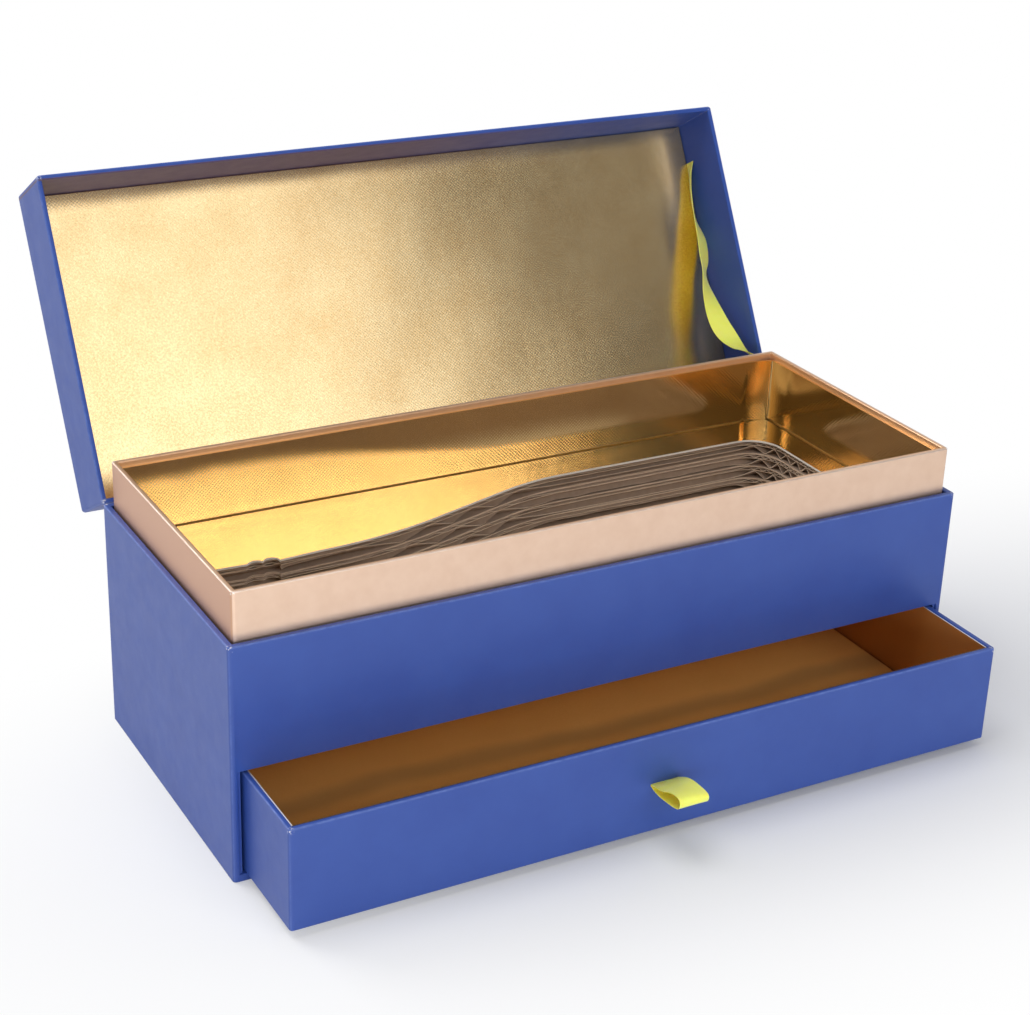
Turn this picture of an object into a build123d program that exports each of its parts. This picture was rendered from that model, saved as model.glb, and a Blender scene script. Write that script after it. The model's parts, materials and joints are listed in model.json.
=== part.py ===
"""Gift box for one bottle, lying on its long side: a hinged lid, a collared case with a die-cut
corrugated bed, and a drawer under it. Millimetres, +Z up, origin at the middle of the case's foot,
front towards -Y. The lid stands open and the drawer is part way out."""
import os
from math import cos, radians, sin, sqrt

from build123d import *

os.makedirs("parts", exist_ok=True)

# Outer sizes
length = 360.0
depth = 150.0
base_height = 109.0
collar_rise = 21.6
lid_height = 36.5
corner_radius = 1.6
lid_open_angle = 119.0
drawer_pull = 46.0

# Sheet thicknesses
paper = 0.2
base_board = 2.5
bottom_board = 3.0
shelf_board = 2.0
collar_board = 2.0
lid_board = 1.8
drawer_board = 2.0
bay_liner = 1.3
well_card = 1.2
drawer_card = 0.6
insert_card = 1.0
lid_pad = 2.7
drawer_pad = 3.0
pad_edge_radius = 1.2

# Clearances
swing_clearance = 0.35
lid_seat_gap = 0.3
collar_side_gap = 0.6
collar_back_gap = 0.8
pad_gap = 0.5
insert_gap = 1.3
drawer_floor_gap = 0.4
drawer_head_gap = 1.0
drawer_side_gap = 1.2
drawer_back_gap = 1.0
liner_setback = 1.0
bed_setback = 0.5

# Heights and turned-in paper
drawer_height = 47.2
insert_drop = 35.0
well_card_drop = 2.8
drawer_card_drop = 0.6
turn_in = 15.0
collar_tuck = 20.0

# Bottle cut-out: body and shoulder are measured from the base, rings and neck from the stopper
base_margin = 14.4
stopper_margin = 9.6
body_half_width = 46.6
body_corner_radius = 16.0
stopper_corner_radius = 6.0
body_length = 117.2
shoulder_run = 35.0
shoulder_half_width = 41.0
taper_run = 43.0
taper_half_width = 27.2
rings_from_end = 41.7
neck_straight = 20.3
neck_half_width = 17.2
ring_throat_half_width = 15.6
ring_half_width = 19.4
ring_waist_half_width = 17.3
ring_pitch = 7.2
stopper_half_width = 18.4

# Corrugated bed
bed_boards = 6
bed_liner = 0.4
small_flute_height = 1.6
small_flute_pitch = 4.6
small_flute_paper = 0.3
large_flute_pitch = 10.5
large_flute_paper = 0.4
cut_chord = 14.0

# Ribbons
ribbon_thickness = 0.3
pull_width = 14.3
pull_centre_x = -2.4
pull_reach = 22.9
pull_crown = 5.2
pull_sag = 1.9
pull_tail = 12.0
slit_clearance = 0.3
tail_room = 0.4
stay_width = 11.0
stay_reach = 127.0
stay_tuck = 3.2
stay_wall_gap = 0.2
stay_foot_inset = 10.2
stay_foot_rise = 1.5
stay_foot_tuck = 11.0
# Folds of the stay: share of its run, set in from the lid's wall, out from the chord, twist
stay_folds = [
    (0.05, 1.2, 0.0, -76),
    (0.13, 4.8, 0.2, -42),
    (0.22, 6.2, -1.1, -49),
    (0.31, 6.1, -2.1, -25),
    (0.39, 8.3, -4.3, -35),
    (0.455, 10.6, -5.9, -52),
    (0.555, 12.5, -6.2, -24),
    (0.65, 13.1, -5.7, 3),
    (0.72, 12.5, -4.4, 9),
    (0.79, 9.8, -2.2, -19),
    (0.83, 6.2, -0.6, -50),
    (0.865, 1.4, -1.6, -80),
    (0.905, 0.0, -1.2, -90),
]
hinge_strip_lid = 14.0
hinge_strip_case = 8.0
hinge_strip_inset = 6.0

# Derived sizes
base_wall = base_board + 2 * paper
collar_wall = collar_board + 2 * paper
lid_wall = lid_board + 2 * paper
drawer_wall = drawer_board + 2 * paper
floor_z = paper + bottom_board + paper
drawer_z = floor_z + drawer_floor_gap
shelf_z = drawer_z + drawer_height + drawer_head_gap
shelf_top = shelf_z + shelf_board
rim_z = base_height + collar_rise
insert_z = rim_z - insert_drop

swing_radius = depth - lid_wall - swing_clearance
front_ledge = max(depth - sqrt(swing_radius**2 - collar_rise**2), base_wall + collar_side_gap)
side_ledge = base_wall + collar_side_gap
back_ledge = base_wall + collar_back_gap
collar_length = length - 2 * side_ledge
collar_depth = depth - front_ledge - back_ledge
well_length = collar_length - 2 * (collar_wall + well_card)
well_depth = collar_depth - 2 * (collar_wall + well_card)
insert_length = well_length - 2 * insert_gap
insert_depth = well_depth - 2 * insert_gap

drawer_length = length - 2 * (base_wall + bay_liner + drawer_side_gap)
drawer_depth = depth - base_wall - bay_liner - drawer_back_gap

bed_board_height = (insert_z - insert_card - shelf_top) / bed_boards
large_flute_height = bed_board_height - small_flute_height - 3 * bed_liner

# Frames: each tray's own middle, with its local Z running through its height
open_angle = radians(lid_open_angle)
case_frame = Plane.XY
collar_frame = Plane(origin=(0, (front_ledge - back_ledge) / 2, 0))
drawer_frame = Plane(origin=(0, (drawer_depth - depth) / 2 - drawer_pull, drawer_z))
lid_frame = Plane(
    origin=(
        0,
        depth / 2 * (1 - cos(open_angle)),
        base_height + depth / 2 * sin(open_angle),
    ),
    x_dir=(1, 0, 0),
    z_dir=(0, sin(open_angle), cos(open_angle)),
)


def keep(name, part):
    """Label a finished piece and write it to its file."""
    part.label = name
    export_step(part, f"parts/{name}.step")


def slab(frame, low, high):
    """A flat sheet or board between two opposite corners, in its frame's coordinates."""
    with BuildPart() as board:
        with BuildSketch(frame.offset(low[2])):
            with Locations(((low[0] + high[0]) / 2, (low[1] + high[1]) / 2)):
                Rectangle(high[0] - low[0], high[1] - low[1])
        extrude(amount=high[2] - low[2])
    return board.part


def outer_wall(frame, low, high, outer_side):
    """A wall board that reaches both corners, with its two outer upright edges rounded."""
    with BuildPart() as wall:
        with BuildSketch(frame.offset(low[2])) as profile:
            with Locations(((low[0] + high[0]) / 2, (low[1] + high[1]) / 2)):
                Rectangle(high[0] - low[0], high[1] - low[1])
            axis, index = outer_side
            corners = profile.vertices().group_by(axis)[index]
            fillet(corners, radius=corner_radius - paper)
        extrude(amount=high[2] - low[2])
    return wall.part


def side_walls(name, frame, size, board, z_range, between=False):
    """The left and right boards of a tray, full depth or fitted between front and back."""
    half_x, half_y = size[0] / 2 - paper, size[1] / 2 - paper
    inner_y = half_y - board if between else half_y
    for side, sign in (("left", -1), ("right", 1)):
        x_out, x_in = sign * half_x, sign * (half_x - board)
        low = (min(x_out, x_in), -inner_y, z_range[0])
        high = (max(x_out, x_in), inner_y, z_range[1])
        if between:
            wall = slab(frame, low, high)
        else:
            wall = outer_wall(frame, low, high, (Axis.X, 0 if sign < 0 else -1))
        keep(f"{name}_{side}_board", wall)


def end_walls(name, frame, size, board, z_ranges, between=False):
    """The front and back boards of a tray, full length or fitted between the sides."""
    half_x, half_y = size[0] / 2 - paper, size[1] / 2 - paper
    inner_x = half_x - board if between else half_x
    for side, sign in (("front", -1), ("back", 1)):
        y_out, y_in = sign * half_y, sign * (half_y - board)
        low = (-inner_x, min(y_out, y_in), z_ranges[side][0])
        high = (inner_x, max(y_out, y_in), z_ranges[side][1])
        if between:
            wall = slab(frame, low, high)
        else:
            wall = outer_wall(frame, low, high, (Axis.Y, 0 if sign < 0 else -1))
        yield f"{name}_{side}_board", wall


def skin(frame, size, wall, foot, rim, inner_depth, capped):
    """Covering paper of a tray: outer faces, over the rim and down the inner faces."""
    up = 1 if rim > foot else -1
    with BuildPart() as covering:
        with BuildSketch(frame.offset(foot)):
            RectangleRounded(size[0], size[1], corner_radius)
            RectangleRounded(
                size[0] - 2 * paper, size[1] - 2 * paper, corner_radius - paper, mode=Mode.SUBTRACT
            )
        extrude(amount=rim - foot)
        with BuildSketch(frame.offset(rim)):
            RectangleRounded(size[0], size[1], corner_radius)
            Rectangle(size[0] - 2 * wall, size[1] - 2 * wall, mode=Mode.SUBTRACT)
        extrude(amount=-up * paper)
        with BuildSketch(frame.offset(rim)):
            Rectangle(size[0] - 2 * (wall - paper), size[1] - 2 * (wall - paper))
            Rectangle(size[0] - 2 * wall, size[1] - 2 * wall, mode=Mode.SUBTRACT)
        extrude(amount=-up * inner_depth)
        if capped:
            with BuildSketch(frame.offset(foot)):
                RectangleRounded(size[0], size[1], corner_radius)
            extrude(amount=up * paper)
    return covering.part


# Case: outer walls, with the drawer's opening below the front apron
case_size = (length, depth)
wall_top = base_height - paper
board_x = length / 2 - paper - base_board
board_y = depth / 2 - paper - base_board
side_walls("case", case_frame, case_size, base_board, (paper, wall_top))
case_ends = {"front": (shelf_z + paper, wall_top), "back": (paper, wall_top)}
for wall_name, wall_part in end_walls(
    "case", case_frame, case_size, base_board, case_ends, between=True
):
    keep("case_front_apron" if "front" in wall_name else wall_name, wall_part)

keep("case_bottom_board", slab(
    case_frame, (-board_x, -depth / 2 + paper, paper), (board_x, board_y, paper + bottom_board)
))
keep("case_shelf_board", slab(
    case_frame, (-board_x, -board_y, shelf_z), (board_x, board_y, shelf_top)
))
keep("case_foot_paper", slab(
    case_frame,
    (-length / 2 + corner_radius, -depth / 2 + paper, 0),
    (length / 2 - corner_radius, depth / 2 - paper, paper),
))

bay_half = length / 2 - base_wall
front_y = -depth / 2
drawer_opening = slab(
    case_frame, (-bay_half, front_y, floor_z), (bay_half, front_y + base_wall, shelf_z)
)
jamb_half = bay_half + paper
apron_edge = slab(
    case_frame,
    (-jamb_half, front_y, shelf_z),
    (jamb_half, front_y + base_wall - paper, shelf_z + paper),
)
sill_edge = slab(
    case_frame, (-jamb_half, front_y, floor_z - paper), (jamb_half, front_y + turn_in, floor_z)
)
with BuildPart() as case_wrap:
    add(skin(case_frame, case_size, base_wall, paper, base_height, turn_in, capped=False))
    add(drawer_opening, mode=Mode.SUBTRACT)
    add(apron_edge)
    add(sill_edge)
    for sign in (-1, 1):
        jamb = sorted((sign * bay_half, sign * jamb_half))
        add(slab(
            case_frame, (jamb[0], front_y, floor_z), (jamb[1], front_y + turn_in, shelf_z)
        ))
keep("case_wrap", case_wrap.part)

# Drawer bay: card liners that guide the drawer and carry the shelf
liner_x = length / 2 - base_wall
liner_y = depth / 2 - base_wall
liner_front = -depth / 2 + liner_setback
keep("bay_left_liner", slab(
    case_frame, (-liner_x, liner_front, floor_z), (-liner_x + bay_liner, liner_y, shelf_z)
))
keep("bay_right_liner", slab(
    case_frame, (liner_x - bay_liner, liner_front, floor_z), (liner_x, liner_y, shelf_z)
))
keep("bay_back_liner", slab(
    case_frame,
    (-liner_x + bay_liner, liner_y - bay_liner, floor_z),
    (liner_x - bay_liner, liner_y, shelf_z),
))

# Collar: it stands on the shelf, inside the case walls, and the lid closes over it
collar_size = (collar_length, collar_depth)
collar_range = (shelf_top, rim_z - paper)
side_walls("collar", collar_frame, collar_size, collar_board, collar_range, between=True)
for wall_name, wall_part in end_walls(
    "collar", collar_frame, collar_size, collar_board, {"front": collar_range, "back": collar_range}
):
    keep(wall_name, wall_part)
keep("collar_wrap", skin(
    collar_frame, collar_size, collar_wall, base_height - collar_tuck, rim_z, turn_in, capped=False
))

# Well linings: foil cards against the collar, a little below its rim
card_x = collar_length / 2 - collar_wall
card_y = collar_depth / 2 - collar_wall
card_top = rim_z - well_card_drop
for side, sign in (("front", -1), ("back", 1)):
    edges = sorted((sign * card_y, sign * (card_y - well_card)))
    keep(f"well_{side}_lining", slab(
        collar_frame, (-card_x, edges[0], shelf_top), (card_x, edges[1], card_top)
    ))
for side, sign in (("left", -1), ("right", 1)):
    edges = sorted((sign * card_x, sign * (card_x - well_card)))
    keep(f"well_{side}_lining", slab(
        collar_frame,
        (edges[0], -card_y + well_card, shelf_top),
        (edges[1], card_y - well_card, card_top),
    ))

# Bottle outline: body, shoulder, neck, two rings under the stopper
bottle_base_x = insert_length / 2 - base_margin
bottle_end_x = -insert_length / 2 + stopper_margin
shoulder_start_x = bottle_base_x - body_length
shoulder_end_x = shoulder_start_x - shoulder_run
taper_x = shoulder_end_x - taper_run
ring_x = bottle_end_x + rings_from_end
neck_start_x = ring_x + neck_straight
with BuildSketch() as bottle:
    with BuildLine():
        corner_x = bottle_base_x - body_corner_radius
        corner_y = body_half_width - body_corner_radius
        Line((bottle_base_x, 0), (bottle_base_x, corner_y))
        CenterArc((corner_x, corner_y), body_corner_radius, 0, 90)
        Line((corner_x, body_half_width), (shoulder_start_x, body_half_width))
        shoulder = TangentArc(
            (shoulder_start_x, body_half_width), (shoulder_end_x, shoulder_half_width),
            tangent=(-1, 0),
        )
        taper = Line(shoulder @ 1, (taper_x, taper_half_width))
        TangentArc(taper @ 1, (neck_start_x, neck_half_width), tangent=taper % 1)
        Line((neck_start_x, neck_half_width), (ring_x, ring_throat_half_width))
        Line((ring_x, ring_throat_half_width), (ring_x, ring_waist_half_width))
        for ring in range(2):
            near_x = ring_x - ring * ring_pitch
            ThreePointArc(
                (near_x, ring_waist_half_width),
                (near_x - ring_pitch / 2, ring_half_width),
                (near_x - ring_pitch, ring_waist_half_width),
            )
        rings_end_x = ring_x - 2 * ring_pitch
        stopper_x = bottle_end_x + stopper_corner_radius
        Line((rings_end_x, ring_waist_half_width), (stopper_x, stopper_half_width))
        CenterArc(
            (stopper_x, stopper_half_width - stopper_corner_radius), stopper_corner_radius, 90, 90
        )
        Line(
            (bottle_end_x, stopper_half_width - stopper_corner_radius), (bottle_end_x, 0)
        )
        Line((bottle_end_x, 0), (bottle_base_x, 0))
    make_face()
    mirror(about=Plane.XZ)

# The boards are cut with straight rule: the same outline in short chords, set back a little
chord_points = []
for edge in bottle.sketch.face().outer_wire().order_edges():
    chords = 1 if edge.geom_type == GeomType.LINE else max(2, round(edge.length / cut_chord))
    chord_points += [edge @ (share / chords) for share in range(chords)]
with BuildSketch() as bed_opening:
    with BuildLine():
        Polyline(*chord_points, close=True)
    make_face()
    offset(amount=bed_setback, kind=Kind.INTERSECTION)

# Insert: a foil card over a stack of die-cut double-wall corrugated boards
with BuildPart() as card:
    with BuildSketch(collar_frame.offset(insert_z - insert_card)):
        Rectangle(insert_length, insert_depth)
    extrude(amount=insert_card)
    with BuildSketch(Plane.XY.offset(insert_z - insert_card)):
        add(bottle.sketch)
    extrude(amount=insert_card, mode=Mode.SUBTRACT)
keep("insert_card", card.part)


def flute_sheet(pitch, height, sheet, bottom):
    """One fluted paper: a zigzag across the depth, running along the length, cut to the bottle."""
    front_edge = collar_frame.origin.Y - insert_depth / 2
    slopes = int(insert_depth / (pitch / 2))
    step = insert_depth / slopes
    rise = height - sheet
    ridge = [
        (front_edge + i * step, bottom + (rise if i % 2 else 0)) for i in range(slopes + 1)
    ]
    with BuildPart() as fluting:
        with BuildSketch(Plane.YZ):
            with BuildLine():
                Polyline(
                    *ridge, *[(y, z + sheet) for y, z in reversed(ridge)], close=True
                )
            make_face()
        extrude(amount=insert_length / 2, both=True)
        with BuildSketch(Plane.XY.offset(bottom)):
            add(bed_opening.sketch)
        extrude(amount=height, mode=Mode.SUBTRACT)
    return fluting.part


def liner_sheets():
    """The three flat papers of one board: under, between and over its two flutings."""
    levels = (
        0,
        bed_liner + large_flute_height,
        bed_board_height - bed_liner,
    )
    with BuildPart() as liners:
        for level in levels:
            with BuildSketch(collar_frame.offset(level)):
                Rectangle(insert_length, insert_depth)
            extrude(amount=bed_liner)
            with BuildSketch(Plane.XY.offset(level)):
                add(bed_opening.sketch)
            extrude(amount=bed_liner, mode=Mode.SUBTRACT)
    return liners.part


large_flutes = flute_sheet(
    large_flute_pitch, large_flute_height, large_flute_paper, bed_liner
)
small_flutes = flute_sheet(
    small_flute_pitch,
    small_flute_height,
    small_flute_paper,
    2 * bed_liner + large_flute_height,
)
liners = liner_sheets()
for board in range(bed_boards):
    rise = Location((0, 0, shelf_top + board * bed_board_height))
    flutes = Compound(children=[large_flutes.moved(rise), small_flutes.moved(rise)])
    keep(f"bed_flutes_{board + 1}", flutes)
    keep(f"bed_liners_{board + 1}", liners.moved(rise))

# Lid: a wrapped tray, hinged at the back edge of its rim, with a foil pad inside
lid_size = (length, depth)
lid_top_under = lid_height - paper - lid_board
lid_walls = (lid_seat_gap + paper, lid_top_under)
side_walls("lid", lid_frame, lid_size, lid_board, lid_walls, between=True)
for wall_name, wall_part in end_walls(
    "lid", lid_frame, lid_size, lid_board, {"front": lid_walls, "back": lid_walls}
):
    keep(wall_name, wall_part)

with BuildPart() as lid_top:
    with BuildSketch(lid_frame.offset(lid_top_under)):
        RectangleRounded(length - 2 * paper, depth - 2 * paper, corner_radius - paper)
    extrude(amount=lid_board)
keep("lid_top_board", lid_top.part)

keep("lid_wrap", skin(
    lid_frame, lid_size, lid_wall, lid_height, lid_seat_gap,
    lid_top_under - lid_seat_gap, capped=True,
))
pad_x = length / 2 - lid_wall - pad_gap
pad_y = depth / 2 - lid_wall - pad_gap
with BuildPart() as ceiling_pad:
    with BuildSketch(lid_frame.offset(lid_top_under - lid_pad)):
        Rectangle(2 * pad_x, 2 * pad_y)
    extrude(amount=lid_pad)
    pad_face = ceiling_pad.faces().sort_by(Axis(lid_frame.origin, lid_frame.z_dir))[0]
    fillet(pad_face.edges(), radius=min(pad_edge_radius, lid_pad / 2))
keep("lid_pad", ceiling_pad.part)

# Hinge strip: paper glued down the lid's back wall and behind the collar
strip_half = length / 2 - base_wall - hinge_strip_inset
lid_inner_y = depth / 2 - lid_wall


def from_lid(y, z):
    """Height and depth in the box's own frame of a point in the lid's frame."""
    point = lid_frame.from_local_coords(Vector(0, y, z))
    return point.Y, point.Z


strip_line = [
    from_lid(lid_inner_y, hinge_strip_lid),
    from_lid(lid_inner_y, lid_seat_gap),
    (depth / 2 - base_wall, base_height),
    (depth / 2 - base_wall, base_height - hinge_strip_case),
    (depth / 2 - base_wall - paper, base_height - hinge_strip_case),
    (depth / 2 - base_wall - paper, base_height + paper),
    from_lid(lid_inner_y - paper, lid_seat_gap - paper),
    from_lid(lid_inner_y - paper, hinge_strip_lid),
]
with BuildPart() as hinge_strip:
    with BuildSketch(Plane.YZ):
        with BuildLine():
            Polyline(*strip_line, close=True)
        make_face()
    extrude(amount=strip_half, both=True)
keep("hinge_strip", hinge_strip.part)

# Drawer: a wrapped tray with a foil pad on its floor and foil cards on its walls
drawer_size = (drawer_length, drawer_depth)
drawer_walls = (paper, drawer_height - paper)
side_walls("drawer", drawer_frame, drawer_size, drawer_board, drawer_walls, between=True)
slit_z = drawer_height / 2 - paper
slit_half_x = pull_width / 2 + slit_clearance
slit_half_z = ribbon_thickness + slit_clearance
drawer_front_y = drawer_frame.origin.Y - drawer_depth / 2
slit_world_z = drawer_z + slit_z
slit = slab(
    case_frame,
    (pull_centre_x - slit_half_x, drawer_front_y, slit_world_z - slit_half_z),
    (pull_centre_x + slit_half_x, drawer_front_y + drawer_wall, slit_world_z + slit_half_z),
)


def with_slit(part):
    """One of the drawer's front pieces with the slit that the pull's tails pass through."""
    with BuildPart() as slotted:
        add(part)
        add(slit, mode=Mode.SUBTRACT)
    return slotted.part


for wall_name, wall_part in end_walls(
    "drawer", drawer_frame, drawer_size, drawer_board, {"front": drawer_walls, "back": drawer_walls}
):
    keep(wall_name, with_slit(wall_part) if "front" in wall_name else wall_part)
drawer_x = drawer_length / 2 - paper - drawer_board
drawer_y = drawer_depth / 2 - paper - drawer_board
keep("drawer_bottom_board", slab(
    drawer_frame, (-drawer_x, -drawer_y, paper), (drawer_x, drawer_y, paper + drawer_board)
))
keep("drawer_wrap", with_slit(skin(
    drawer_frame, drawer_size, drawer_wall, 0, drawer_height, turn_in, capped=True
)))

lining_x = drawer_length / 2 - drawer_wall
lining_front = -drawer_depth / 2 + drawer_wall + tail_room
lining_back = drawer_depth / 2 - drawer_wall
lining_z = (paper + drawer_board, drawer_height - drawer_card_drop)
drawer_linings = {
    "front": ((-lining_x, lining_front), (lining_x, lining_front + drawer_card)),
    "back": ((-lining_x, lining_back - drawer_card), (lining_x, lining_back)),
    "left": ((-lining_x, lining_front + drawer_card), (-lining_x + drawer_card, lining_back - drawer_card)),
    "right": ((lining_x - drawer_card, lining_front + drawer_card), (lining_x, lining_back - drawer_card)),
}
for side, (low, high) in drawer_linings.items():
    keep(f"drawer_{side}_lining", slab(
        drawer_frame, (*low, lining_z[0]), (*high, lining_z[1])
    ))
inside = drawer_card + pad_gap
with BuildPart() as floor_pad:
    with BuildSketch(drawer_frame.offset(lining_z[0])):
        with Locations((0, (lining_front + lining_back) / 2)):
            Rectangle(2 * (lining_x - inside), lining_back - lining_front - 2 * inside)
    extrude(amount=drawer_pad)
    fillet(
        floor_pad.faces().sort_by(Axis.Z)[-1].edges(),
        radius=min(pad_edge_radius, drawer_pad / 2),
    )
keep("drawer_floor_pad", floor_pad.part)

# Pull: a ribbon loop through the drawer's front, its two tails glued behind the board
pull_plane = Plane(
    origin=(pull_centre_x, drawer_front_y, slit_world_z), x_dir=(0, -1, 0), z_dir=(-1, 0, 0)
)
nose_x = pull_reach - pull_crown / 2
with BuildPart() as pull:
    with BuildSketch(pull_plane):
        with BuildLine():
            crown = ThreePointArc(
                (0, ribbon_thickness), (nose_x / 2, pull_crown * 0.8), (nose_x, pull_crown)
            )
            nose = ThreePointArc(crown @ 1, (pull_reach, pull_crown / 2), (nose_x, 0))
            belly = ThreePointArc(nose @ 1, (nose_x / 2, -pull_sag), (0, -ribbon_thickness))
            Line(belly @ 1, crown @ 0)
        make_face()
        offset(amount=-ribbon_thickness, mode=Mode.SUBTRACT)
        with Locations((-drawer_wall / 2, 0)):
            Rectangle(drawer_wall, 2 * ribbon_thickness)
        with Locations((-drawer_wall - ribbon_thickness / 2, 0)):
            Rectangle(ribbon_thickness, 2 * pull_tail)
    extrude(amount=pull_width / 2, both=True)
keep("drawer_pull", pull.part)

# Stay: a twisted ribbon from under the lid's pad to the gap beside the collar
stay_top = lid_frame.from_local_coords(Vector(
    length / 2 - lid_wall - stay_wall_gap,
    depth / 2 - stay_reach,
    lid_top_under - lid_pad - stay_tuck,
))
stay_foot = Vector(
    length / 2 - base_wall - collar_side_gap / 2,
    depth / 2 - stay_foot_inset,
    base_height + stay_foot_rise,
)
stay_run = stay_foot - stay_top
stay_across = Vector(1, 0, 0)
stay_outward = stay_run.cross(stay_across).normalized()


def stay_section(place, direction, twist):
    """Corners of the ribbon's section at one place, its width turned by twist out of the X way."""
    width_way = stay_across * cos(radians(twist)) + stay_outward * sin(radians(twist))
    width_way = (width_way - direction * width_way.dot(direction)).normalized() * stay_width / 2
    through = direction.cross(width_way).normalized() * ribbon_thickness / 2
    return [
        place + width_way + through,
        place - width_way + through,
        place - width_way - through,
        place + width_way - through,
    ]


def flat_facet(*corners):
    """A flat face between three or four corners."""
    return Face(Wire.make_polygon(corners, close=True))


places = [stay_top]
for along, inward, outward, twist in stay_folds:
    places.append(stay_top + stay_run * along - stay_across * inward + stay_outward * outward)
places.append(stay_foot)
places.append(stay_foot - Vector(0, 0, stay_foot_rise + stay_foot_tuck))
twists = [-90] + [fold[3] for fold in stay_folds] + [-90, -90]
ends = [places[0] - (places[1] - places[0])] + places + [places[-1] * 2 - places[-2]]
sections = [
    stay_section(place, (ends[index + 2] - ends[index]).normalized(), twist)
    for index, (place, twist) in enumerate(zip(places, twists))
]
facets = [flat_facet(*sections[0]), flat_facet(*sections[-1])]
for near, far in zip(sections, sections[1:]):
    for start, end in ((0, 1), (1, 2), (3, 2), (0, 3)):
        facets.append(flat_facet(near[start], near[end], far[end]))
        facets.append(flat_facet(near[start], far[end], far[start]))
with BuildPart() as stay:
    add(Solid(Shell(facets)))
keep("lid_stay_ribbon", stay.part)
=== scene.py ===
"""Looks of a gift box for one bottle: folded papers, foils, ribbons and the die-cut corrugated bed.
Metres, +Z up, origin at the middle of the case's foot, front towards -Y."""

import json
from math import cos, pi, radians, sin

import bmesh
import bpy
import numpy as np
from mathutils import Matrix, Vector


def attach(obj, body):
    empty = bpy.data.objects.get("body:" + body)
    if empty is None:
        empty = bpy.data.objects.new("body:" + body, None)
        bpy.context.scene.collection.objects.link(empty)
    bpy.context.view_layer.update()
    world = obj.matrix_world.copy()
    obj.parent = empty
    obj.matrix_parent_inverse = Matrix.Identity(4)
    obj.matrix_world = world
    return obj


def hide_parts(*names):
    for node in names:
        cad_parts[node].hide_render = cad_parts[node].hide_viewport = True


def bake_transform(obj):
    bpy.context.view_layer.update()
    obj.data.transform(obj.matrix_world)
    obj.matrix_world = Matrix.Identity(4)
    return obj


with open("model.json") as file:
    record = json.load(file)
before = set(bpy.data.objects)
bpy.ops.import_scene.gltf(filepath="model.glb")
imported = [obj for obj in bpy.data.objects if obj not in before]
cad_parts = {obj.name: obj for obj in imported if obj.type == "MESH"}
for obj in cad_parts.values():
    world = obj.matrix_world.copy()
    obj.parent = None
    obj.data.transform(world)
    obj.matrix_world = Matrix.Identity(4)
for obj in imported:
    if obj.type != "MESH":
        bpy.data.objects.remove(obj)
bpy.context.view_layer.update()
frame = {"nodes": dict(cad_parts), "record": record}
mm = 0.001

# Trays: half sizes, walls and heights, the same as the boards under the papers
case_half = (180.0, 75.0)
case_wall = 2.9
case_rim = 109.0
collar_half = (176.5, 71.0795)
collar_middle = 0.2206
collar_wall = 2.4
collar_rim = 130.6
lid_half = (180.0, 75.0)
lid_wall = 2.2
lid_height = 36.5
lid_lip = 0.3
lid_ceiling = 34.5
lid_open = radians(119.0)
drawer_half = (174.6, 72.4)
drawer_wall = 2.4
drawer_height = 47.2
drawer_origin = (0.0, -48.6, 3.8)

# Papers: thickness, folds, and how far they reach and turn in
paper = 0.2
fold_radius = 0.6
corner_radius = 1.6
smallest_radius = 0.3
turn_in = 15.0
apron_flap = 2.6
flap_fold = 0.4
collar_foot = 89.0
cap_inset = 20.0

# Corners of a plan, counter-clockwise: the signs of x and y, and the angle where each arc starts
plan_corners = ((1, 1, 0), (-1, 1, 90), (-1, -1, 180), (1, -1, 270))

# Drawer's opening in the case's front
bay_half = 177.1
bay_floor = 3.4
bay_head = 52.0

# Slit in the drawer's front, and the height of the pull in it
drawer_front = -121.0
slit_left = -9.85
slit_right = 5.05
slit_floor = 26.6
slit_head = 27.8
pull_height = 27.2

# Insert: the card's top, and the sheets under it
insert_half = (171.6, 66.18)
insert_top = 95.6
insert_card = 1.0
bed_foot = 54.0
bed_boards = 6
board_height = 6.767
liner_paper = 0.4
small_height = 1.6
small_pitch = 3.6
small_paper = 0.28
large_height = 3.967
large_pitch = 8.7
large_paper = 0.42


def frame_matrix(origin, y_way, z_way):
    """The matrix of a tray's own coordinates, in millimetres."""
    x_way = Vector(y_way).cross(Vector(z_way))
    turn = Matrix((x_way, Vector(y_way), Vector(z_way))).transposed().to_4x4()
    return Matrix.Translation(Vector(origin)) @ turn


upright = Matrix.Identity(4)
collar_frame = Matrix.Translation((0, collar_middle, 0))
drawer_frame = Matrix.Translation(drawer_origin)
lid_y = Vector((0, cos(lid_open), -sin(lid_open)))
lid_z = Vector((0, sin(lid_open), cos(lid_open)))
lid_frame = frame_matrix(Vector((0, 75, 109)) - lid_y * 75, lid_y, lid_z)


def linked(name, data):
    """A new object of the scene."""
    made = bpy.data.objects.new(name, data)
    bpy.context.scene.collection.objects.link(made)
    return made


def new_object(name, points, faces, place=upright):
    """A mesh object from points in millimetres of a tray's own coordinates."""
    mesh = bpy.data.meshes.new(name)
    mesh.from_pydata([place @ Vector(p) * mm for p in points], [], faces)
    mesh.update()
    return linked(name, mesh)


def smooth(piece, angle=40):
    """Smooth shading that stays crisp across edges sharper than the angle."""
    piece.data.polygons.foreach_set("use_smooth", [True] * len(piece.data.polygons))
    piece.data.set_sharp_from_angle(angle=radians(angle))


def apply_modifiers(piece):
    """Bake a piece's modifiers into its mesh."""
    made = bpy.data.meshes.new_from_object(
        piece.evaluated_get(bpy.context.evaluated_depsgraph_get())
    )
    piece.modifiers.clear()
    piece.data = made


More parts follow.
